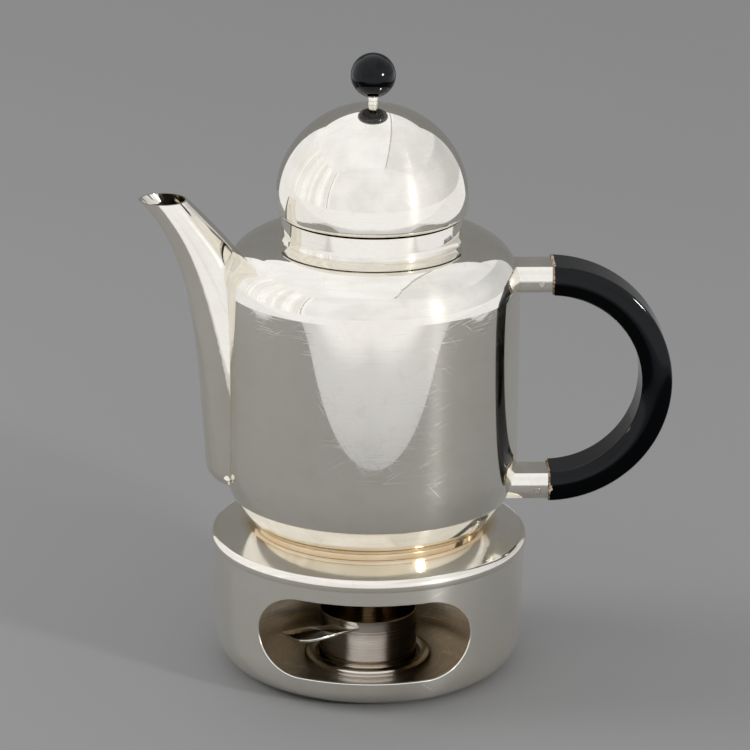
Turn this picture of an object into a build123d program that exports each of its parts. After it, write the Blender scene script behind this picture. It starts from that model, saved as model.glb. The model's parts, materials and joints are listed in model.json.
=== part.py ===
"""Silver coffee pot on its warmer stand, with a lift-off domed lid and a lift-out burner cup.

Millimetres, +Z up. The origin is on the stand's axis, at the flat face that it rests on.
The spout points along -X and the handle along +X, and the stand's window faces about -Y.
"""

from build123d import *
from math import asin, cos, hypot, radians, sin, sqrt
from numpy import polyfit, polyval
import os

os.makedirs("parts", exist_ok=True)

# ---- Stand: a spun drum with a window, closed by a cap with a rolled edge ----
stand_wall = 1.2
drum_top_r = 66.8
drum_low_r = 66.0
drum_corner = 17.5
drum_top_z = 55.4
window_turn = -4.2  # degrees that the window's middle is turned from -Y, towards the spout
window_length = 89.0
window_height = 35.3
window_z = 31.65
window_edge = 0.4
cap_edge_r = 67.8
cap_edge_z = 58.1
cap_groove_r = 65.7
cap_groove_z = 60.6
cap_groove_width = 0.3
cap_seat_r = 52.0
cap_seat_z = 63.4
heat_hole_r = 40.5
skirt_depth = 4.6
seat_bead_r = 24.7
seat_bead_width = 5.0
seat_bead_height = 3.9

# ---- Burner: an open cup for a tealight, with a leaf-shaped tab ----
cup_r = 21.0
cup_wall = 0.8
cup_base = 1.0
cup_low_z = stand_wall + 0.1
cup_top_z = 23.9
burner_turn = -2.5
tab_z = 20.7
tab_thick = 1.2

# ---- Pot: a straight-sided body with a soft shoulder, on a low foot ring ----
pot_wall = 1.0
pot_r = 63.1
foot_r = 49.6
foot_low_z = cap_seat_z + 0.1
foot_top_z = 66.3
belly_r = 39.0
belly_z = 95.0
shoulder_r = 20.0
shoulder_z = 170.5
base_r = 48.9
neck_bore_r = 37.3
neck_band_r = 38.1
neck_lip_r = 38.6
neck_flare_z = 194.2
neck_top_z = 201.2
strainer_hole_r = 1.5
strainer_pitch = 8.0
strainer_z = 132.0
neck_flare_low = 0.4
neck_edge = 0.6
foot_ring_width = 2.0

# ---- Handle: a black half ring, tenoned and pinned into two silver sockets ----
handle_x = 75.6
handle_z = 127.4
handle_r = 45.9
arm_reach = 46.1
socket_flat = 7.4
socket_bulge = 9.2
socket_height = 11.2
socket_wall = 1.0
socket_end_x = 76.1
grip_flat = 9.3
grip_bulge = 10.8
grip_height = 12.9
grip_edge = 1.3
grip_start_x = 76.9
filler_inset = 0.2
tenon_width = 10.4
tenon_height = 8.6
tenon_length = 11.0
pin_r = 1.3
pin_hole_r = 1.35
pin_x = 71.5
pin_drop = 1.7

# ---- Lid: a ball-like dome with a bezel, and a black ball on a short silver post ----
dome_r = 40.7
dome_z = 207.3
dome_curl = 2.4
dome_tangent_z = 203.6
lid_flange_r = 37.0
bezel_r = 36.9
bezel_wall = 1.0
bezel_low_z = 193.2
ball_r = 9.46
ball_z = 260.6
post_r = 2.0
stud_r = 1.4
stud_hole_r = 1.5
stud_low_z = 242.2
stud_top_z = 258.4
nut_low_z = 242.8
washer_low_z = 245.5
washer_top_z = 246.5
washer_r = 5.0
nut_flat_r = 3.2
post_groove = 0.35

# The spout's outline at rising heights: height, outer edge and inner edge along X, and the
# half-width along Y. Smooth curves through these rows give its level, oval sections.
spout_outline = [
    (92.0, -70.2, -41.8, 21.0),
    (110.0, -71.5, -41.3, 21.0),
    (131.5, -73.2, -41.2, 20.6),
    (150.0, -75.2, -43.4, 19.4),
    (165.0, -78.0, -47.2, 17.4),
    (178.0, -81.5, -52.5, 15.3),
    (188.0, -85.1, -59.3, 13.2),
    (197.0, -89.8, -67.8, 11.2),
    (203.0, -94.6, -73.4, 10.1),
    (207.0, -97.9, -77.3, 9.7),
]
spout_section_count = 12
spout_curve_degree = 6
spout_wall = 1.0
spout_foot_height = 11.0


def save(part, name):
    """Labels a finished piece and writes it as the node of that name."""
    part.label = name
    export_step(part, f"parts/{name}.step")


def turned(angle):
    """The XY plane turned about Z, so that its own -Y looks that many degrees round from -Y."""
    return Plane.XY.rotated((0, 0, angle))


# ================================ Stand ================================

with BuildPart() as stand_drum:
    with BuildSketch(Plane.XZ):
        with BuildLine():
            rest = Line((0, 0), (drum_low_r - drum_corner, 0))
            corner = JernArc(rest @ 1, (1, 0), drum_corner, 90)
            Line(corner @ 1, (drum_top_r, drum_top_z))
            Line((drum_top_r, drum_top_z), (drum_top_r - stand_wall, drum_top_z))
            Line((drum_top_r - stand_wall, drum_top_z), (drum_low_r - stand_wall, drum_corner))
            inner_corner = ThreePointArc(
                (drum_low_r - stand_wall, drum_corner),
                (
                    drum_low_r - drum_corner + (drum_corner - stand_wall) * sin(radians(45)),
                    drum_corner - (drum_corner - stand_wall) * sin(radians(45)),
                ),
                (drum_low_r - drum_corner, stand_wall),
            )
            Line(inner_corner @ 1, (0, stand_wall))
            Line((0, stand_wall), (0, 0))
        make_face()
    revolve(axis=Axis.Z)
    window_plane = Plane(
        origin=(0, 0, window_z),
        x_dir=(cos(radians(window_turn)), sin(radians(window_turn)), 0),
        z_dir=(sin(radians(window_turn)), -cos(radians(window_turn)), 0),
    )
    with BuildSketch(window_plane):
        SlotOverall(window_length, window_height)
    extrude(amount=2 * drum_top_r, mode=Mode.SUBTRACT)
    # The window's outer rim is softened. The wall's own seam and the short edges across the wall
    # are left out.
    cut_edges = stand_drum.edges(Select.LAST).filter_by(GeomType.LINE, reverse=True)
    middles = [(edge, edge @ 0.5) for edge in cut_edges]
    window_rim = [
        edge
        for edge, middle in middles
        if hypot(middle.X, middle.Y) > drum_low_r - window_edge
        and abs(middle.Z - drum_corner) > window_edge
    ]
    fillet(window_rim, radius=window_edge)
save(stand_drum.part, "stand_drum")

with BuildPart() as stand_top:
    skirt_r = drum_top_r - stand_wall - 0.2
    with BuildSketch(Plane.XZ):
        with BuildLine():
            Polyline(
                (cap_groove_r + cap_groove_width, cap_groove_z),
                (cap_groove_r + cap_groove_width / 3, cap_groove_z - cap_groove_width),
                (cap_groove_r, cap_groove_z),
                (cap_seat_r, cap_seat_z),
                (heat_hole_r, cap_seat_z),
                (heat_hole_r, cap_seat_z - stand_wall),
                (cap_seat_r, cap_seat_z - stand_wall),
                (skirt_r - stand_wall, cap_groove_z - stand_wall),
                (skirt_r - stand_wall, drum_top_z - skirt_depth),
                (skirt_r, drum_top_z - skirt_depth),
                (skirt_r, drum_top_z),
                (drum_top_r + 0.1, drum_top_z),
            )
            ThreePointArc(
                (drum_top_r + 0.1, drum_top_z),
                (cap_edge_r, cap_edge_z),
                (cap_groove_r + cap_groove_width, cap_groove_z),
            )
        make_face()
    revolve(axis=Axis.Z)
save(stand_top.part, "stand_top")

with BuildPart() as burner_seat_ring:
    with BuildSketch(Plane.XZ):
        with BuildLine():
            bead_in = (seat_bead_r - seat_bead_width / 2, stand_wall)
            bead_out = (seat_bead_r + seat_bead_width / 2, stand_wall)
            ThreePointArc(bead_in, (seat_bead_r, stand_wall + seat_bead_height), bead_out)
            Line(bead_out, bead_in)
        make_face()
    revolve(axis=Axis.Z)
save(burner_seat_ring.part, "burner_seat_ring")

# ================================ Burner ================================

with BuildPart() as burner_cup:
    with BuildSketch(Plane.XY.offset(cup_low_z)):
        Circle(cup_r)
    extrude(amount=cup_top_z - cup_low_z)
    fillet(burner_cup.edges().sort_by(Axis.Z)[0], radius=1.6)
    with BuildSketch(Plane.XY.offset(cup_low_z + cup_base)):
        Circle(cup_r - cup_wall)
    extrude(amount=cup_top_z - cup_low_z, mode=Mode.SUBTRACT)
save(burner_cup.part, "burner_cup")

with BuildPart() as burner_tab:
    with BuildSketch(turned(burner_turn).offset(tab_z)):
        with BuildLine():
            Spline((-2.5, -20.0), (-10.0, -26.3), (-23.3, -33.0), (-36.3, -24.4))
            Line((-36.3, -24.4), (-36.3, -22.4))
            Spline((-36.3, -22.4), (-21.0, -20.2), (-9.0, -18.0))
            Line((-9.0, -18.0), (-2.5, -20.0))
        make_face()
    extrude(amount=tab_thick)
    with BuildSketch(Plane.XY.offset(tab_z)):
        Circle(cup_r)
    extrude(amount=tab_thick, mode=Mode.SUBTRACT)
save(burner_tab.part, "burner_tab")

# ================================ Pot ================================


def pot_outline(skin):
    """The body's outline, skin millimetres inside its outer surface: belly, wall and shoulder."""
    radius = belly_r - skin
    middle = pot_r - belly_r
    foot_angle = asin((belly_z - foot_top_z) / radius)
    half = foot_angle / 2
    low = (middle + radius * cos(foot_angle), foot_top_z)
    belly_mid = (middle + radius * cos(half), belly_z - radius * sin(half))
    wall_low = (pot_r - skin, belly_z)
    wall_top = (pot_r - skin, shoulder_z)
    shoulder_in = pot_r - shoulder_r
    bend = (shoulder_r - skin) * sin(radians(45))
    shoulder_mid = (shoulder_in + bend, shoulder_z + bend)
    shoulder_top = (shoulder_in, shoulder_z + shoulder_r - skin)
    return low, belly_mid, wall_low, wall_top, shoulder_mid, shoulder_top


def draw_outline(points):
    """Draws the outline's belly arc, wall and shoulder arc in the open BuildLine."""
    low, belly_mid, wall_low, wall_top, shoulder_mid, shoulder_top = points
    ThreePointArc(low, belly_mid, wall_low)
    Line(wall_low, wall_top)
    ThreePointArc(wall_top, shoulder_mid, shoulder_top)


outer_points = pot_outline(0)
inner_points = pot_outline(pot_wall)
pot_top_z = shoulder_z + shoulder_r

# The pot's outer shape as one solid, which trims the pieces that are soldered onto it.
with BuildPart() as pot_shape:
    with BuildSketch(Plane.XZ):
        with BuildLine():
            draw_outline(outer_points)
            Polyline(outer_points[-1], (0, pot_top_z), (0, foot_top_z), outer_points[0])
        make_face()
    revolve(axis=Axis.Z)

with BuildPart() as pot_body:
    with BuildSketch(Plane.XZ):
        with BuildLine():
            draw_outline(outer_points)
            Polyline(
                outer_points[-1],
                (neck_bore_r, pot_top_z),
                (neck_bore_r, pot_top_z - pot_wall),
                inner_points[-1],
            )
            draw_outline(inner_points)
            Line(inner_points[0], outer_points[0])
        make_face()
    revolve(axis=Axis.Z)
    strainer_plane = Plane(origin=(-pot_r - 1, 0, strainer_z), x_dir=(0, 1, 0), z_dir=(1, 0, 0))
    with BuildSketch(strainer_plane):
        with GridLocations(strainer_pitch, strainer_pitch, 4, 6):
            Circle(strainer_hole_r)
        with GridLocations(strainer_pitch, strainer_pitch, 3, 5):
            Circle(strainer_hole_r)
    extrude(amount=strainer_pitch, mode=Mode.SUBTRACT)
save(pot_body.part, "pot_body")

with BuildPart() as pot_base:
    with BuildSketch(Plane.XY.offset(foot_top_z)):
        Circle(base_r)
    extrude(amount=pot_wall)
save(pot_base.part, "pot_base")

with BuildPart() as foot_ring:
    with BuildSketch(Plane.XZ):
        with BuildLine():
            Polyline(
                (foot_r, foot_low_z),
                (outer_points[0][0] - 0.2, foot_top_z),
                (foot_r - foot_ring_width, foot_top_z),
                (foot_r - foot_ring_width + 0.3, foot_low_z),
                close=True,
            )
        make_face()
    revolve(axis=Axis.Z)
save(foot_ring.part, "foot_ring")

with BuildPart() as neck_collar:
    with BuildSketch(Plane.XZ):
        with BuildLine():
            Polyline(
                (neck_band_r, neck_flare_z),
                (neck_band_r, neck_top_z - neck_edge),
                (neck_band_r - neck_edge, neck_top_z),
                (neck_bore_r, neck_top_z),
                (neck_bore_r, pot_top_z),
                (neck_lip_r, pot_top_z),
                (neck_lip_r, pot_top_z + neck_flare_low),
            )
            ThreePointArc(
                (neck_lip_r, pot_top_z + neck_flare_low),
                (neck_band_r + 0.1, (pot_top_z + neck_flare_z) / 2),
                (neck_band_r, neck_flare_z),
            )
        make_face()
    revolve(axis=Axis.Z)
save(neck_collar.part, "neck_collar")

# ================================ Spout ================================


def spout_section(height):
    """The spout's section at a height: its centre along X, and its half-widths along X and Y."""
    low = spout_outline[0][0]
    rise = spout_outline[-1][0] - low
    steps = [(row[0] - low) / rise for row in spout_outline]
    curves = [
        polyfit(steps, [row[column] for row in spout_outline], spout_curve_degree)
        for column in (1, 2, 3)
    ]
    outer, inner, half_y = [float(polyval(curve, (height - low) / rise)) for curve in curves]
    return (outer + inner) / 2, (inner - outer) / 2, half_y


def spout_solid(skin):
    """The spout's solid, skin millimetres inside its outer surface, with its rounded foot."""
    low_z = spout_outline[0][0]
    step = (spout_outline[-1][0] - low_z) / (spout_section_count - 1)
    with BuildPart() as tube:
        for index in range(spout_section_count):
            height = low_z + index * step
            centre, half_x, half_y = spout_section(height)
            with BuildSketch(Plane((centre, 0, height))):
                Ellipse(half_x - skin, half_y - skin)
        loft()
        foot_x, foot_half_x, foot_half_y = spout_section(low_z)
        round_end = scale(
            Solid.make_sphere(1),
            by=(foot_half_x - skin, foot_half_y - skin, spout_foot_height - skin),
            mode=Mode.PRIVATE,
        )
        add(round_end.moved(Location((foot_x, 0, low_z))))
    return tube.part


with BuildPart() as spout:
    add(spout_solid(0))
    add(spout_solid(spout_wall), mode=Mode.SUBTRACT)
    add(pot_shape.part, mode=Mode.SUBTRACT)
save(spout.part, "spout")

# ================================ Handle ================================


def barrel_section(flat, bulge, height, edge=0):
    """A section with a flat top and bottom, softly bulging sides and rounded edges."""
    half = height / 2
    with BuildSketch() as section:
        with BuildLine():
            Line((-flat, half), (flat, half))
            ThreePointArc((flat, half), (bulge, 0), (flat, -half))
            Line((flat, -half), (-flat, -half))
            ThreePointArc((-flat, -half), (-bulge, 0), (-flat, half))
        make_face()
        if edge:
            fillet(section.vertices(), radius=edge)
    return section.sketch


def across_x(x, z):
    """A plane square to the X axis, with its own X along Y and its own Y up."""
    return Plane(origin=(x, 0, z), x_dir=(0, 1, 0), z_dir=(1, 0, 0))


def pin_plane(z):
    """A plane square to the Y axis, on a handle pin's line."""
    return Plane(origin=(pin_x, 0, z - pin_drop), x_dir=(1, 0, 0), z_dir=(0, -1, 0))


arms = {"upper": handle_z + arm_reach, "lower": handle_z - arm_reach}

for place, arm_z in arms.items():
    with BuildPart() as handle_socket:
        with BuildSketch(across_x(pot_r - 10, arm_z)):
            add(barrel_section(socket_flat, socket_bulge, socket_height))
        extrude(amount=socket_end_x - pot_r + 10)
        with BuildSketch(across_x(pot_r - 10, arm_z)):
            bore = barrel_section(
                socket_flat - socket_wall,
                socket_bulge - socket_wall,
                socket_height - 2 * socket_wall,
            )
            add(bore)
        extrude(amount=socket_end_x - pot_r + 10, mode=Mode.SUBTRACT)
        with BuildSketch(pin_plane(arm_z)):
            Circle(pin_hole_r)
        extrude(amount=2 * socket_bulge, both=True, mode=Mode.SUBTRACT)
        add(pot_shape.part, mode=Mode.SUBTRACT)
    save(handle_socket.part, f"handle_socket_{place}")

    # The cement that fills the joint between the socket's mouth and the grip's shoulder.
    with BuildPart() as joint_filler:
        with BuildSketch(across_x(socket_end_x, arm_z)):
            section = barrel_section(
                grip_flat - filler_inset,
                grip_bulge - filler_inset,
                grip_height - 2 * filler_inset,
                grip_edge,
            )
            add(section)
            Rectangle(tenon_width, tenon_height, mode=Mode.SUBTRACT)
        extrude(amount=grip_start_x - socket_end_x)
    save(joint_filler.part, f"joint_filler_{place}")

    with BuildPart() as handle_pin:
        with BuildSketch(pin_plane(arm_z)):
            Circle(pin_r)
        extrude(amount=socket_bulge, both=True)
        fillet(handle_pin.edges(), radius=0.25)
    save(handle_pin.part, f"handle_pin_{place}")

with BuildPart() as handle_grip:
    with BuildSketch(across_x(handle_x, handle_z + handle_r)):
        add(barrel_section(grip_flat, grip_bulge, grip_height, grip_edge))
    revolve(axis=Axis((handle_x, 0, handle_z), (0, 1, 0)), revolution_arc=180)
    split(bisect_by=Plane((grip_start_x, 0, 0), z_dir=(1, 0, 0)), keep=Keep.TOP)
    for arm_z in arms.values():
        with BuildSketch(across_x(grip_start_x - tenon_length, arm_z)):
            Rectangle(tenon_width, tenon_height)
        extrude(amount=tenon_length + grip_edge)
        with BuildSketch(pin_plane(arm_z)):
            Circle(pin_hole_r)
        extrude(amount=tenon_width, both=True, mode=Mode.SUBTRACT)
save(handle_grip.part, "handle_grip")

# ================================ Lid ================================

tangent_r = sqrt(dome_r**2 - (dome_z - dome_tangent_z) ** 2)
tangent_angle = asin((dome_z - dome_tangent_z) / dome_r)
curl_x = tangent_r - dome_curl * cos(tangent_angle)
curl_z = dome_tangent_z + dome_curl * sin(tangent_angle)
lid_low_z = curl_z - dome_curl


def draw_dome(skin):
    """Draws the dome's skin from the apex down to its curled-in edge, in the open BuildLine."""
    ball = dome_r - skin
    curl = dome_curl - skin
    start = (stud_hole_r, dome_z + sqrt(ball**2 - stud_hole_r**2))
    middle = (ball * cos(radians(40)), dome_z + ball * sin(radians(40)))
    tangent = (ball * cos(tangent_angle), dome_z - ball * sin(tangent_angle))
    ThreePointArc(start, middle, tangent)
    bend = radians(45)
    ThreePointArc(
        tangent,
        (curl_x + curl * cos(bend), curl_z - curl * sin(bend)),
        (curl_x, curl_z - curl),
    )
    return start


with BuildPart() as lid_dome:
    with BuildSketch(Plane.XZ):
        with BuildLine():
            outer_start = draw_dome(0)
            inner_start = draw_dome(pot_wall)
            Line(outer_start, inner_start)
            Polyline(
                (curl_x, lid_low_z),
                (lid_flange_r, lid_low_z),
                (lid_flange_r, lid_low_z + pot_wall),
                (curl_x, lid_low_z + pot_wall),
            )
        make_face()
    revolve(axis=Axis.Z)
save(lid_dome.part, "lid_dome")

with BuildPart() as lid_bezel:
    with BuildSketch(Plane.XY.offset(bezel_low_z)):
        Circle(bezel_r)
        Circle(bezel_r - bezel_wall, mode=Mode.SUBTRACT)
    extrude(amount=lid_low_z + pot_wall - bezel_low_z)
    chamfer(lid_bezel.edges().group_by(Axis.Z)[0].sort_by(SortBy.RADIUS)[-1], length=0.4)
save(lid_bezel.part, "lid_bezel")

dome_top_z = dome_z + dome_r
ball_flat_z = ball_z - sqrt(ball_r**2 - (post_r - 0.2) ** 2)

with BuildPart() as finial_post:
    with BuildSketch(Plane.XZ):
        groove_z = (dome_top_z + ball_flat_z) / 2
        with BuildLine():
            Polyline(
                (0, stud_low_z),
                (stud_r, stud_low_z),
                (stud_r, dome_top_z),
                (post_r, dome_top_z),
                (post_r, groove_z - 0.25),
                (post_r - post_groove, groove_z),
                (post_r, groove_z + 0.25),
                (post_r, ball_flat_z),
                (stud_r, ball_flat_z),
                (stud_r, stud_top_z),
                (0, stud_top_z),
                close=True,
            )
        make_face()
    revolve(axis=Axis.Z)
save(finial_post.part, "finial_post")

with BuildPart() as finial_ball:
    with Locations((0, 0, ball_z)):
        Sphere(ball_r)
    split(bisect_by=Plane.XY.offset(ball_flat_z), keep=Keep.TOP)
    with BuildSketch(Plane.XY.offset(ball_flat_z)):
        Circle(stud_hole_r)
    extrude(amount=stud_top_z + 0.6 - ball_flat_z, mode=Mode.SUBTRACT)
save(finial_ball.part, "finial_ball")

with BuildPart() as finial_washer:
    with BuildSketch(Plane.XY.offset(washer_low_z)):
        Circle(washer_r)
        Circle(stud_hole_r, mode=Mode.SUBTRACT)
    extrude(amount=washer_top_z - washer_low_z)
save(finial_washer.part, "finial_washer")

with BuildPart() as finial_nut:
    with BuildSketch(Plane.XY.offset(nut_low_z)):
        RegularPolygon(nut_flat_r, 6, major_radius=False)
        Circle(stud_hole_r, mode=Mode.SUBTRACT)
    extrude(amount=washer_low_z - nut_low_z)
save(finial_nut.part, "finial_nut")
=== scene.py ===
import bmesh
import bpy
import json
from math import cos, pi, radians, sin
from mathutils import Matrix, Vector, noise


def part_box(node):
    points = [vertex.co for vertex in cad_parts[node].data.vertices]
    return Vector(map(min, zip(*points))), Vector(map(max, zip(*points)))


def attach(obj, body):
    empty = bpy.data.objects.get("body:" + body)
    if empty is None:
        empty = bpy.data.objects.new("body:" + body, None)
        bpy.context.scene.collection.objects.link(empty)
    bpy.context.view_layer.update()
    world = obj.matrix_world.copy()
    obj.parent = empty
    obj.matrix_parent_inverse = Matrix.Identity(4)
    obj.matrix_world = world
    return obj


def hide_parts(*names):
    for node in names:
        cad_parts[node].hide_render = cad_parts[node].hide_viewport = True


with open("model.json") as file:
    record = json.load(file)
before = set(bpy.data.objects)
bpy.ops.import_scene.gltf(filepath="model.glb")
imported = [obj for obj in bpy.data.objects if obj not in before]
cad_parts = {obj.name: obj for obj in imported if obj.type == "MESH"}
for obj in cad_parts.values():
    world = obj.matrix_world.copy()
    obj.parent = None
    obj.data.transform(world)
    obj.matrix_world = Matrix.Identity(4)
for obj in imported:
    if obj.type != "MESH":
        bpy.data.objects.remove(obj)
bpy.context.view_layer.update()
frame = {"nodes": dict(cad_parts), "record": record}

scene = bpy.context.scene
scene.view_settings.view_transform = "Standard"
# The photographic tone curve holds the deepest shades down and leaves the rest alone.
scene.view_settings.use_curve_mapping = True
tone = scene.view_settings.curve_mapping
for shade, printed in ((0.0078, 0.0022), (0.0235, 0.0185), (0.06, 0.06)):
    tone.curves[3].points.new(shade, printed)
tone.update()

# The camera stands a little to the spout's side of straight in front, and everything in the studio
# is set out from its line of sight.
VIEW_TURN = radians(-2.5)
VIEW_TILT = radians(18.5)
VIEW_DISTANCE = 2.0
VIEW_ROLL = radians(0.56)
AIM_Z = 0.129
SENSOR = 36.0
LENS = 225.9


def studio(x, y, z=0.0):
    """A point in the studio: x to the camera's right, y away from it, z up from the floor."""
    return Vector((
        x * cos(VIEW_TURN) - y * sin(VIEW_TURN),
        x * sin(VIEW_TURN) + y * cos(VIEW_TURN),
        z,
    ))


# ================================ Node helpers ================================


def new_material(name):
    mat = bpy.data.materials.new(name)
    mat.use_nodes = True
    mat.node_tree.nodes.clear()
    return mat


class Tree:
    """A short way to write a node tree."""

    def __init__(self, tree):
        self.tree = tree

    def add(self, kind, links=None, **values):
        node = self.tree.nodes.new(kind)
        for key, value in values.items():
            setattr(node, key, value)
        for key, value in (links or {}).items():
            self.put(node, key, value)
        return node

    def put(self, node, key, value):
        socket = node.inputs[key]
        if isinstance(value, bpy.types.NodeSocket):
            self.tree.links.new(value, socket)
        else:
            socket.default_value = value

    def math(self, operation, a, b=0.0, c=0.0, clamp=False):
        node = self.add("ShaderNodeMath", {0: a, 1: b, 2: c}, operation=operation, use_clamp=clamp)
        return node.outputs[0]

    def vector(self, operation, a, b):
        node = self.add("ShaderNodeVectorMath", {0: a, 1: b}, operation=operation)
        return node.outputs["Value" if operation == "DOT_PRODUCT" else "Vector"]

    def ramp(self, fac, low, high, to_low=0.0, to_high=1.0, smooth=True):
        node = self.add(
            "ShaderNodeMapRange",
            {"Value": fac, "From Min": low, "From Max": high, "To Min": to_low, "To Max": to_high},
            interpolation_type="SMOOTHSTEP" if smooth else "LINEAR",
        )
        return node.outputs["Result"]

    def mix(self, fac, a, b):
        node = self.add("ShaderNodeMix", data_type="RGBA")
        self.put(node, 0, fac)
        self.put(node, 6, a)
        self.put(node, 7, b)
        return node.outputs[2]

    def noise(self, vector, scale, detail=2.0, rough=0.5):
        node = self.add(
            "ShaderNodeTexNoise",
            {"Vector": vector, "Scale": scale, "Detail": detail, "Roughness": rough},
        )
        return node.outputs["Fac"]

    def place(self):
        return self.add("ShaderNodeTexCoord").outputs["Object"]

    def split(self, vector):
        return self.add("ShaderNodeSeparateXYZ", {0: vector}).outputs

    def radius(self, place):
        """Distance from the object's axis."""
        flat = self.vector("MULTIPLY", place, (1.0, 1.0, 0.0))
        return self.add("ShaderNodeVectorMath", {0: flat}, operation="LENGTH").outputs["Value"]

    def surface(self, shader):
        self.add("ShaderNodeOutputMaterial", {"Surface": shader.outputs[0]})


def rgb(red, green, blue):
    return (red, green, blue, 1.0)


# ================================ Materials ================================


def wiping_marks(t, place):
    """Fine straight scratches left by polishing cloths, in three directions, as one height."""
    height = None
    for turn, tilt, count in ((0.0, 0.0, 2200.0), (0.5, 0.35, 1700.0), (-0.9, -0.6, 1500.0)):
        spun = t.add("ShaderNodeVectorRotate", {
            "Vector": place, "Rotation": (tilt, turn, 0.0),
        }, rotation_type="EULER_XYZ")
        stretched = t.vector("MULTIPLY", spun.outputs[0], (60.0, 60.0, count))
        lines = t.noise(stretched, 1.0, 2.0, 0.6)
        sharp = t.ramp(lines, 0.60, 0.80)
        height = sharp if height is None else t.math("ADD", height, sharp)
    return height


# The stand's drum: a flat floor, a rounded corner and a wall that leans out a little.
DRUM_CORNER_Z = 0.0175
DRUM_FLAT_RADIUS = 0.0485
DRUM_MID_WALL = 0.0169
DRUM_LEAN = 0.0211
DRUM_MASK_EDGE = 0.00025


def chamber_mask(t, place):
    """One on the inside of the stand's drum, and nought on its outside."""
    height = t.split(place)["Z"]
    out = t.math("MAXIMUM", t.math("SUBTRACT", t.radius(place), DRUM_FLAT_RADIUS), 0.0)
    down = t.math("MINIMUM", t.math("SUBTRACT", height, DRUM_CORNER_Z), 0.0)
    squares = t.math("ADD", t.math("MULTIPLY", out, out), t.math("MULTIPLY", down, down))
    reach = t.math("SQRT", squares)
    rise = t.math("MAXIMUM", t.math("SUBTRACT", height, DRUM_CORNER_Z), 0.0)
    over = t.math("SUBTRACT", reach, t.math("MULTIPLY_ADD", rise, DRUM_LEAN, DRUM_MID_WALL))
    return t.ramp(over, -DRUM_MASK_EDGE, DRUM_MASK_EDGE, 1.0, 0.0)


def lathe_rings(t, place, pitch):
    """Turning rings round the axis, as a height."""
    across = t.math("ADD", t.radius(place), t.split(place)["Z"])
    line = t.add("ShaderNodeCombineXYZ", {0: t.math("MULTIPLY", across, 1.0 / pitch)})
    return t.noise(line.outputs[0], 1.0, 3.0, 0.7)


def axis_tangent(t):
    return t.add("ShaderNodeTangent", direction_type="RADIAL", axis="Z").outputs[0]


# Near-black brown used as painted shade in the seam between the lid and the collar.
PAINTED_SEAM_SHADE = rgb(0.03, 0.022, 0.014)


def silver(name, clean, warm, low_rough, high_rough, haze_share, haze_rough, scratch,
           painted_warm_reflection=None, seam=None, chamber=False):
    """Polished silver: a clear mirror under a thin veil of wiping marks and a little tarnish, with
    optional painted seam shade and painted warm reflection.
    """
    mat = new_material(name)
    t = Tree(mat.node_tree)
    place = t.place()
    cloud = t.noise(place, 26.0, 4.0, 0.6)
    strokes = t.noise(t.vector("MULTIPLY", place, (45.0, 45.0, 1100.0)), 1.0, 3.0, 0.6)
    soiled = t.ramp(t.math("MULTIPLY_ADD", strokes, 0.35, cloud), 0.55, 0.95)
    colour = t.mix(t.math("MULTIPLY", soiled, 0.45), clean, warm)
    bloom = t.ramp(t.noise(place, 130.0, 4.0, 0.65), 0.50, 0.72)
    colour = t.mix(t.math("MULTIPLY", bloom, 0.4), colour, warm)
    speck = t.ramp(t.noise(place, 420.0, 3.0, 0.7), 0.66, 0.80)
    colour = t.mix(t.math("MULTIPLY", speck, 0.35), colour, warm)
    # Painted reflection: the colour turns warm orange towards the axis, inside the given radii.
    if painted_warm_reflection:
        near, far, tone = painted_warm_reflection
        spread = t.math("ADD", t.radius(place), t.math("MULTIPLY", cloud, 0.008))
        colour = t.mix(t.ramp(spread, near, far, 1.0, 0.0), colour, tone)
    # Painted shade: a dark band over the seam's heights, where the gap between lid and collar falls
    # in shade.
    if seam:
        low, high = seam
        height = t.split(place)["Z"]
        above = t.ramp(height, low - 0.0001, low)
        below = t.ramp(height, high, high + 0.0001, 1.0, 0.0)
        colour = t.mix(t.math("MULTIPLY", above, below), colour, PAINTED_SEAM_SHADE)
    marks = wiping_marks(t, place)
    bump = t.add("ShaderNodeBump", {"Strength": scratch, "Distance": 0.00003, "Height": marks})
    patch = t.noise(place, 55.0, 4.0, 0.6)
    patches = t.ramp(patch, 0.3, 0.8, low_rough, high_rough)
    rough = t.math("ADD", patches, t.math("MULTIPLY", marks, 0.012))
    if chamber:
        inside = chamber_mask(t, place)
        rings = t.math("MULTIPLY", lathe_rings(t, place, 0.0011), 0.7)
        lines = t.math("ADD", rings, t.math("MULTIPLY", cloud, 0.4))
        turned = t.mix(t.ramp(lines, 0.40, 0.70), rgb(0.96, 0.93, 0.89), rgb(0.74, 0.69, 0.62))
        colour = t.mix(inside, colour, turned)
        rough = t.math("MULTIPLY_ADD", inside, 0.09, rough)
    clear = t.add("ShaderNodeBsdfPrincipled", {
        "Base Color": colour, "Metallic": 1.0, "Roughness": rough, "Normal": bump.outputs[0],
    })
    haze = t.add("ShaderNodeBsdfPrincipled", {
        "Base Color": colour, "Metallic": 1.0, "Roughness": haze_rough, "Anisotropic": 0.93,
        "Anisotropic Rotation": 0.25, "Tangent": axis_tangent(t),
    })
    share = t.math("MULTIPLY_ADD", marks, 0.14, haze_share * 0.55)
    if chamber:
        share = t.math("MULTIPLY_ADD", inside, 0.2, share)
    both = t.add("ShaderNodeMixShader", {0: share, 1: clear.outputs[0], 2: haze.outputs[0]})
    t.surface(both)
    return mat


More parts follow.
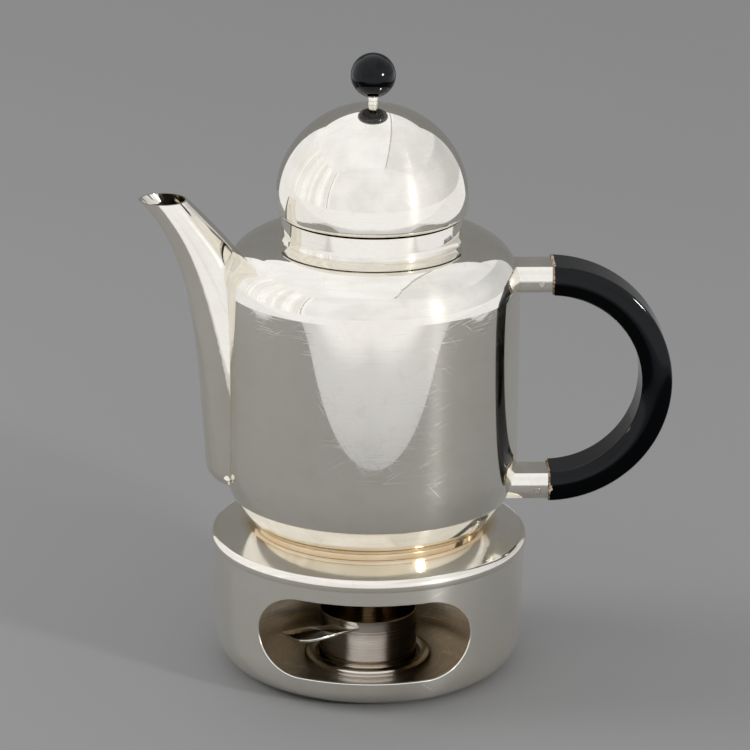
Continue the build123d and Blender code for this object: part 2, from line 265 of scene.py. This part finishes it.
def turned_silver(name, clean, warm, low_rough, high_rough, pitch, ring_share, inside=None):
    """Silver left from the lathe: rings round the axis, heat and wax stains, and optional painted
    shade inside a hollow.
    """
    mat = new_material(name)
    t = Tree(mat.node_tree)
    place = t.place()
    cloud = t.noise(place, 45.0, 4.0, 0.55)
    colour = t.mix(t.ramp(cloud, 0.40, 0.75), clean, warm)
    # Painted shade: a darker, warmer colour inside the given radius, where the cup's hollow gets
    # little light.
    if inside:
        inner_radius, tone = inside
        within = t.ramp(t.radius(place), inner_radius, inner_radius + 0.0003, 1.0, 0.0)
        colour = t.mix(within, colour, tone)
    lines = t.ramp(lathe_rings(t, place, pitch), 0.35, 0.75)
    colour = t.mix(t.math("MULTIPLY", lines, ring_share), colour, warm)
    rough = t.ramp(lines, 0.0, 1.0, low_rough, high_rough)
    shader = t.add("ShaderNodeBsdfPrincipled", {
        "Base Color": colour, "Metallic": 1.0, "Roughness": rough,
        "Anisotropic": 0.6, "Anisotropic Rotation": 0.25, "Tangent": axis_tangent(t),
    })
    t.surface(shader)
    return mat


CLEAN = rgb(0.875, 0.842, 0.755)
WARM = rgb(0.79, 0.735, 0.62)
lid_low_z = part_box("lid_dome")[0][2]
neck_top_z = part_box("neck_collar")[1][2]
pot_look = dict(
    clean=CLEAN, warm=WARM, low_rough=0.012, high_rough=0.035, haze_share=0.10, haze_rough=0.36,
    scratch=0.09,
)
pot_silver = silver("pot_silver", **pot_look)
# The lid's lower edge and the collar's top get painted shade along their seam.
lid_silver = silver("lid_silver", seam=(lid_low_z - 0.001, lid_low_z + 0.0004), **pot_look)
collar_silver = silver(
    "collar_silver", seam=(neck_top_z - 0.0006, neck_top_z + 0.001), **pot_look
)
stand_silver = silver(
    "stand_silver", rgb(0.86, 0.828, 0.75), rgb(0.83, 0.78, 0.68), 0.11, 0.18, 0.22, 0.40, 0.15,
    chamber=True,
)
# The cap gets a painted warm reflection round the pot's foot.
cap_silver = silver(
    "cap_silver", rgb(0.87, 0.83, 0.74), rgb(0.84, 0.77, 0.64), 0.08, 0.14, 0.15, 0.4, 0.15,
    painted_warm_reflection=(0.0535, 0.0600, rgb(0.74, 0.55, 0.33)),
)
leaf_silver = silver("leaf_silver", CLEAN, WARM, 0.14, 0.24, 0.35, 0.5, 0.1)
pin_silver = silver(
    "pin_silver", rgb(0.55, 0.51, 0.45), rgb(0.40, 0.35, 0.28), 0.30, 0.45, 0.2, 0.4, 0.1,
)
# The cup's inside gets painted shade.
inner_silver = turned_silver(
    "inner_silver", rgb(0.90, 0.85, 0.77), rgb(0.84, 0.77, 0.67), 0.16, 0.30, 0.0007, 0.8,
    inside=(0.0204, rgb(0.80, 0.72, 0.60)),
)
ring_silver = turned_silver(
    "ring_silver", rgb(0.84, 0.78, 0.69), rgb(0.72, 0.64, 0.52), 0.16, 0.3, 0.0012, 0.8,
)

black_handle = new_material("black_handle")
t = Tree(black_handle.node_tree)
place = t.place()
shade = t.mix(t.noise(place, 40.0, 3.0), rgb(0.0002, 0.0006, 0.0009), rgb(0.0004, 0.0010, 0.0013))
shader = t.add("ShaderNodeBsdfPrincipled", {
    "Base Color": shade, "Roughness": t.ramp(t.noise(place, 30.0, 2.0), 0.3, 0.8, 0.07, 0.10),
    "IOR": 1.5, "Specular IOR Level": 0.30,
})
t.surface(shader)

joint_cement = new_material("joint_cement")
t = Tree(joint_cement.node_tree)
place = t.place()
grain = t.noise(place, 700.0, 4.0)
shade = t.mix(t.ramp(grain, 0.38, 0.62), rgb(0.07, 0.038, 0.02), rgb(0.42, 0.33, 0.24))
bump = t.add("ShaderNodeBump", {"Strength": 0.8, "Distance": 0.0003, "Height": grain})
shader = t.add("ShaderNodeBsdfPrincipled", {
    "Base Color": shade, "Roughness": 0.85, "Normal": bump.outputs[0],
})
t.surface(shader)

looks = {
    "pot_silver": pot_silver,
    "stand_silver": stand_silver,
    "inner_silver": inner_silver,
    "black_handle": black_handle,
    "joint_cement": joint_cement,
}
slots = {row["node"]: row["material_slot"] for row in frame["record"]["subparts"]}
for name, node in frame["nodes"].items():
    node.data.materials.clear()
    node.data.materials.append(looks[slots[name]])
for name, look in {
    "stand_top": cap_silver,
    "burner_seat_ring": ring_silver,
    "lid_dome": lid_silver,
    "neck_collar": collar_silver,
    "handle_pin_upper": pin_silver,
    "handle_pin_lower": pin_silver,
}.items():
    frame["nodes"][name].data.materials[0] = look

# ================================ Pieces ================================

MM = 0.001


def finish_piece(name, mesh, body, mat, nodes=()):
    """Adds a smooth piece that moves with a body, and stands in for the named CAD nodes."""
    obj = bpy.data.objects.new(name, mesh)
    scene.collection.objects.link(obj)
    mesh.materials.clear()
    mesh.materials.append(mat)
    mesh.polygons.foreach_set("use_smooth", [True] * len(mesh.polygons))
    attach(obj, body)
    if nodes:
        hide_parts(*nodes)


# The tab is a hand-cut leaf, a little twisted and creased by use.
tab_low, tab_high = (Vector(p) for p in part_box("burner_tab"))
leaf = bpy.data.objects.new("leaf_shape", frame["nodes"]["burner_tab"].data.copy())
scene.collection.objects.link(leaf)
remesh = leaf.modifiers.new("even", "REMESH")
remesh.mode = "VOXEL"
remesh.voxel_size = 0.3 * MM
soften = leaf.modifiers.new("soften", "SMOOTH")
soften.factor = 0.5
soften.iterations = 3
graph = bpy.context.evaluated_depsgraph_get()
leaf_mesh = bpy.data.meshes.new_from_object(leaf.evaluated_get(graph))
bpy.data.objects.remove(leaf)
LEAF_DROOP = 0.9 * MM
LEAF_DIP = 0.5 * MM
LEAF_CREASE = 0.26
CREASE_IN = 5.2 * MM
CREASE_DRIFT = 3.5 * MM
for vertex in leaf_mesh.vertices:
    along = (tab_high.x - vertex.co.x) / (tab_high.x - tab_low.x)
    crease_y = tab_high.y - CREASE_IN - CREASE_DRIFT * along
    ahead = max(0.0, crease_y - vertex.co.y)
    curl = LEAF_DROOP * sin(pi * along * 1.2)
    vertex.co.z += curl - LEAF_CREASE * ahead * along - LEAF_DIP * along
finish_piece("burner_leaf", leaf_mesh, "burner", leaf_silver, ["burner_tab"])


CEMENT_CORNER = 1.5 * MM
CEMENT_BULGE = 1.5 * MM
CEMENT_PROUD = 0.30 * MM
CEMENT_COLUMNS = 9


def cement(place, reach, seed):
    """The joint's cement: a ragged band round the grip's end, chipped along its outer edge."""
    low, high = (Vector(p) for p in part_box(f"joint_filler_{place}"))
    middle = (low + high) / 2
    half_y = (high.y - low.y) / 2
    half_z = (high.z - low.z) / 2
    corner = CEMENT_CORNER
    flat = half_y - CEMENT_BULGE
    outline = []
    for side in (1, -1):
        for a in range(0, 91, 15):
            turn = radians(a)
            outline.append((
                side * (flat - corner + corner * sin(turn)),
                side * (half_z - corner + corner * cos(turn)),
            ))
        for step in range(1, 24):
            share = step / 24
            bulge = sin(pi * share) * CEMENT_BULGE
            outline.append((side * (flat + bulge), side * (half_z - corner) * (1 - 2 * share)))
        for a in range(90, 181, 15):
            turn = radians(a)
            outline.append((
                side * (flat - corner + corner * sin(turn)),
                side * (-half_z + corner + corner * cos(turn)),
            ))
        for step in range(1, 30):
            share = step / 30
            outline.append((side * (flat - corner) * (1 - 2 * share), side * -half_z))
    bm = bmesh.new()
    rings = []
    for column in range(CEMENT_COLUMNS):
        share = column / (CEMENT_COLUMNS - 1)
        ring = []
        for y, z in outline:
            coarse = noise.noise(Vector((y * 900, z * 900, seed))) * 0.5
            fine = noise.noise(Vector((y * 2600, z * 2600, seed + 7))) * 0.35
            ragged = coarse + fine
            end = high.x + reach * (0.75 + ragged)
            x = low.x + (end - low.x) * share
            lump = noise.noise(Vector((x * 1500, y * 1500, z * 1500))) * 0.12 * MM
            proud = CEMENT_PROUD + lump - 0.35 * MM * share**3 - (0.25 * MM if column == 0 else 0.0)
            length = max((y * y + z * z) ** 0.5, 1e-6)
            grow = 1 + proud / length
            ring.append(bm.verts.new((x, middle.y + y * grow, middle.z + z * grow)))
        rings.append(ring)
    inner = [bm.verts.new((low.x, middle.y + y * 0.8, middle.z + z * 0.8)) for y, z in outline]
    tail_x = low.x + reach * 0.3
    tail = [bm.verts.new((tail_x, middle.y + y * 0.93, middle.z + z * 0.93)) for y, z in outline]
    rings = [inner] + rings + [tail]
    count = len(outline)
    for first, second in zip(rings, rings[1:] + rings[:1]):
        for i in range(count):
            j = (i + 1) % count
            bm.faces.new((first[i], first[j], second[j], second[i]))
    bmesh.ops.remove_doubles(bm, verts=bm.verts, dist=1e-6)
    bmesh.ops.recalc_face_normals(bm, faces=bm.faces)
    mesh = bpy.data.meshes.new(f"cement_{place}")
    bm.to_mesh(mesh)
    bm.free()
    finish_piece(
        f"cement_{place}", mesh, "pot", joint_cement, [f"joint_filler_{place}"],
    )


cement("upper", 0.7 * MM, 3.0)
cement("lower", 1.9 * MM, 11.0)

# A small run of solder where the spout's rounded foot meets the body.
bm = bmesh.new()
bmesh.ops.create_icosphere(bm, subdivisions=4, radius=1.0)
for vertex in bm.verts:
    point = vertex.co
    lump = 1.0 + 0.22 * noise.noise(point * 1.3)
    drawn = 1.0 - 0.45 * max(0.0, -point.z)
    vertex.co = Vector((
        -60.9 + 1.7 * point.x * lump,
        -19.0 + 1.5 * point.y * lump * drawn,
        88.9 + 1.8 * point.z * lump,
    )) * MM
solder_mesh = bpy.data.meshes.new("spout_solder")
bm.to_mesh(solder_mesh)
bm.free()
finish_piece("spout_solder", solder_mesh, "pot", pot_silver)

# ================================ Studio ================================


def plane(name, corners, mat, seen=True):
    mesh = bpy.data.meshes.new(name)
    mesh.from_pydata([tuple(c) for c in corners], [], [tuple(range(len(corners)))])
    obj = bpy.data.objects.new(name, mesh)
    scene.collection.objects.link(obj)
    obj.data.materials.append(mat)
    if not seen:
        obj.visible_camera = False
        obj.visible_diffuse = False
        obj.visible_shadow = False


def glow(name, colour):
    mat = new_material(name)
    t = Tree(mat.node_tree)
    t.surface(t.add("ShaderNodeEmission", {"Color": colour, "Strength": 1.0}))
    return mat


paper = new_material("paper")
t = Tree(paper.node_tree)
shade = t.mix(t.noise(t.place(), 3.0, 2.0), rgb(0.200, 0.199, 0.193), rgb(0.206, 0.205, 0.199))
t.surface(t.add("ShaderNodeBsdfPrincipled", {
    "Base Color": shade, "Roughness": 0.95, "Specular IOR Level": 0.1,
}))
FLOOR_HALF = 6.0
plane("floor", [
    (-FLOOR_HALF, -FLOOR_HALF, 0), (FLOOR_HALF, -FLOOR_HALF, 0),
    (FLOOR_HALF, FLOOR_HALF, 0), (-FLOOR_HALF, FLOOR_HALF, 0),
], paper)

# What the silver mirrors round the grey paper. The paper ends in front with rounded corners, on a
# pale table, and sweeps up behind. These cards show only in mirrors.
PAPER_HALF = 0.565
PAPER_LEFT = -0.385
PAPER_RIGHT = -0.345
PAPER_ROUND = 0.20
CARD_FAR = 7.0
CARD_LIFT = 0.0008

# The table cards glow as painted light, brighter in bands towards the paper's edge and out at the
# sides.
table = new_material("table")
t = Tree(table.node_tree)
place = t.place()
sideways = t.math("ABSOLUTE", t.vector("DOT_PRODUCT", place, tuple(studio(1, 0))))
forward = t.vector("DOT_PRODUCT", place, tuple(studio(0, -1)))
forward = t.math("MULTIPLY_ADD", sideways, 0.25, forward)
near_edge = t.ramp(forward, 0.37, 0.44, 0.47, 0.62, False)
lit = t.math("ADD", near_edge, t.ramp(forward, 0.44, 0.53, 0.0, 0.08, False))
lit = t.math("ADD", lit, t.ramp(forward, 0.525, 0.585, 0.0, 0.30))
lit = t.math("MAXIMUM", lit, t.ramp(sideways, 0.50, 0.60, 0.0, 0.92))
t.surface(t.add("ShaderNodeEmission", {"Color": rgb(1.0, 1.01, 1.06), "Strength": lit}))


def rounded_end(side, front):
    """The paper's front edge on one side, from the middle out and round its corner."""
    points = [(0.0, (PAPER_LEFT + PAPER_RIGHT) / 2)]
    for step in range(9):
        a = radians(90.0 * step / 8)
        points.append((
            side * (PAPER_HALF - PAPER_ROUND + PAPER_ROUND * sin(a)),
            front + PAPER_ROUND * (1 - cos(a)),
        ))
    return points


def card_outside(name, side, front):
    """The table on one side: everything outside the paper's edge."""
    edge = [studio(x, y, CARD_LIFT) for x, y in rounded_end(side, front)]
    far = [studio(x, y, CARD_LIFT) for x, y in (
        (side * PAPER_HALF, CARD_FAR), (side * CARD_FAR, CARD_FAR),
        (side * CARD_FAR, -CARD_FAR), (0, -CARD_FAR),
    )]
    plane(name, edge + far, table, False)


card_outside("table_left", -1, PAPER_LEFT)
card_outside("table_right", 1, PAPER_RIGHT)
SWEEP_Y = 0.80
SWEEP_TOP = 0.86
sweep = glow("paper_sweep", rgb(0.215, 0.215, 0.212))
plane("sweep", [
    studio(-PAPER_HALF, SWEEP_Y), studio(PAPER_HALF, SWEEP_Y),
    studio(PAPER_HALF, SWEEP_Y, SWEEP_TOP), studio(-PAPER_HALF, SWEEP_Y, SWEEP_TOP),
], sweep, False)

# The room: pale walls, a paler ceiling with one dark joint, and curtained windows on the left.
# The slopes say how high each wall's top stands for its distance.
FRONT_SLOPE = -1.30
RIGHT_SLOPE = 0.67
LEFT_SLOPE = -0.85
JOINT_SLANT = -0.0355
JOINT_X = 0.304
world = bpy.data.worlds.new("studio")
scene.world = world
world.use_nodes = True
world.node_tree.nodes.clear()
t = Tree(world.node_tree)
way = t.add("ShaderNodeTexCoord").outputs["Generated"]
right = t.vector("DOT_PRODUCT", way, tuple(studio(1, 0)))
away = t.vector("DOT_PRODUCT", way, tuple(studio(0, 1)))
up = t.split(way)["Z"]
front_line = t.math("MULTIPLY", away, FRONT_SLOPE)
right_line = t.math("MULTIPLY", right, RIGHT_SLOPE)
left_line = t.math("MULTIPLY", right, LEFT_SLOPE)
wall_top = t.math("MAXIMUM", front_line, t.math("MAXIMUM", right_line, left_line))
over = t.math("SUBTRACT", up, wall_top)
is_ceiling = t.ramp(over, -0.035, 0.035)
steep = t.math("MAXIMUM", up, 0.05)
joint_x = t.math("DIVIDE", right, steep)
joint_y = t.math("DIVIDE", away, steep)
joint_line = t.math("MULTIPLY_ADD", joint_y, JOINT_SLANT, JOINT_X)
joint_off = t.math("ABSOLUTE", t.math("SUBTRACT", joint_x, joint_line))
joint = t.ramp(joint_off, 0.006, 0.016, 1.0, 0.0)
panel = t.ramp(t.math("SUBTRACT", joint_x, 0.31), -0.01, 0.01)
ceiling = t.mix(panel, rgb(1.02, 1.03, 1.09), rgb(0.88, 0.89, 0.93))
ceiling = t.mix(joint, ceiling, rgb(0.5, 0.49, 0.47))
# Curtain folds: soft bands and thin dark lines, that change with the compass direction only.
bearing = t.math("ARCTAN2", right, t.math("MULTIPLY", away, -1.0))
fold_place = t.add("ShaderNodeCombineXYZ", {0: t.math("MULTIPLY", bearing, 9.0), 1: 3.7}).outputs[0]
folds = t.noise(fold_place, 1.0, 1.0, 0.4)
fold_phase = t.math("FRACT", t.math("MULTIPLY", folds, 9.0))
fold_middle = t.math("ABSOLUTE", t.math("SUBTRACT", fold_phase, 0.5))
fold_lines = t.ramp(fold_middle, 0.0, 0.12, 1.0, 0.0)
window_right = t.ramp(bearing, radians(-48), radians(-54))
window_left = t.ramp(bearing, radians(-120), radians(-112))
window = t.math("MULTIPLY", window_right, window_left)
window = t.math("MULTIPLY", window, t.ramp(up, 0.68, 0.72, 1.0, 0.0))
curtain = t.mix(t.ramp(folds, 0.3, 0.7), rgb(0.95, 0.95, 0.97), rgb(1.16, 1.17, 1.22))
curtain = t.mix(t.math("MULTIPLY", fold_lines, 0.75), curtain, rgb(0.30, 0.28, 0.25))
dim = t.ramp(bearing, radians(58), radians(130), 0.0, 1.0)
wall = t.mix(dim, rgb(0.96, 0.97, 1.02), rgb(0.64, 0.65, 0.68))
room = t.mix(window, wall, curtain)
room = t.mix(is_ceiling, room, ceiling)
drift = t.ramp(t.noise(way, 2.2, 2.0, 0.5), 0.3, 0.7, 0.93, 1.05)
backdrop = t.add("ShaderNodeBackground", {"Color": room, "Strength": drift})
t.add("ShaderNodeOutputWorld", {"Surface": backdrop.outputs[0]})


LIGHT_AIM = Vector((0, 0, 0.12))


def area_light(name, where, size, power, seen_in_mirror=True):
    data = bpy.data.lights.new(name, "AREA")
    data.shape = "DISK"
    data.size = size
    data.energy = power
    obj = bpy.data.objects.new(name, data)
    scene.collection.objects.link(obj)
    obj.location = where
    obj.rotation_euler = (LIGHT_AIM - where).to_track_quat("-Z", "Y").to_euler()
    obj.visible_glossy = seen_in_mirror


def from_sky(turn, tilt, distance):
    """A place seen from the object, turned to the camera's right and raised above the floor."""
    a, e = radians(turn), radians(tilt)
    return studio(distance * cos(e) * sin(a), -distance * cos(e) * cos(a), distance * sin(e))


area_light("key", from_sky(51, 19.5, 2.0), 0.22, 20.0)
area_light("window_fill", studio(-1.5, 0.1, 0.9), 1.0, 15.0, seen_in_mirror=False)

# ================================ Camera ================================

camera_data = bpy.data.cameras.new("camera")
camera_data.sensor_width = SENSOR
camera_data.lens = LENS
camera_data.shift_x = 0.0062
camera_data.clip_end = 50
camera = bpy.data.objects.new("camera", camera_data)
scene.collection.objects.link(camera)
aim = Vector((0, 0, AIM_Z))
camera.location = aim + studio(0, -VIEW_DISTANCE * cos(VIEW_TILT), VIEW_DISTANCE * sin(VIEW_TILT))
look = (aim - camera.location).to_track_quat("-Z", "Y").to_matrix().to_4x4()
roll = Matrix.Rotation(VIEW_ROLL, 4, "Z")
camera.matrix_world = Matrix.Translation(camera.location) @ look @ roll
scene.camera = camera
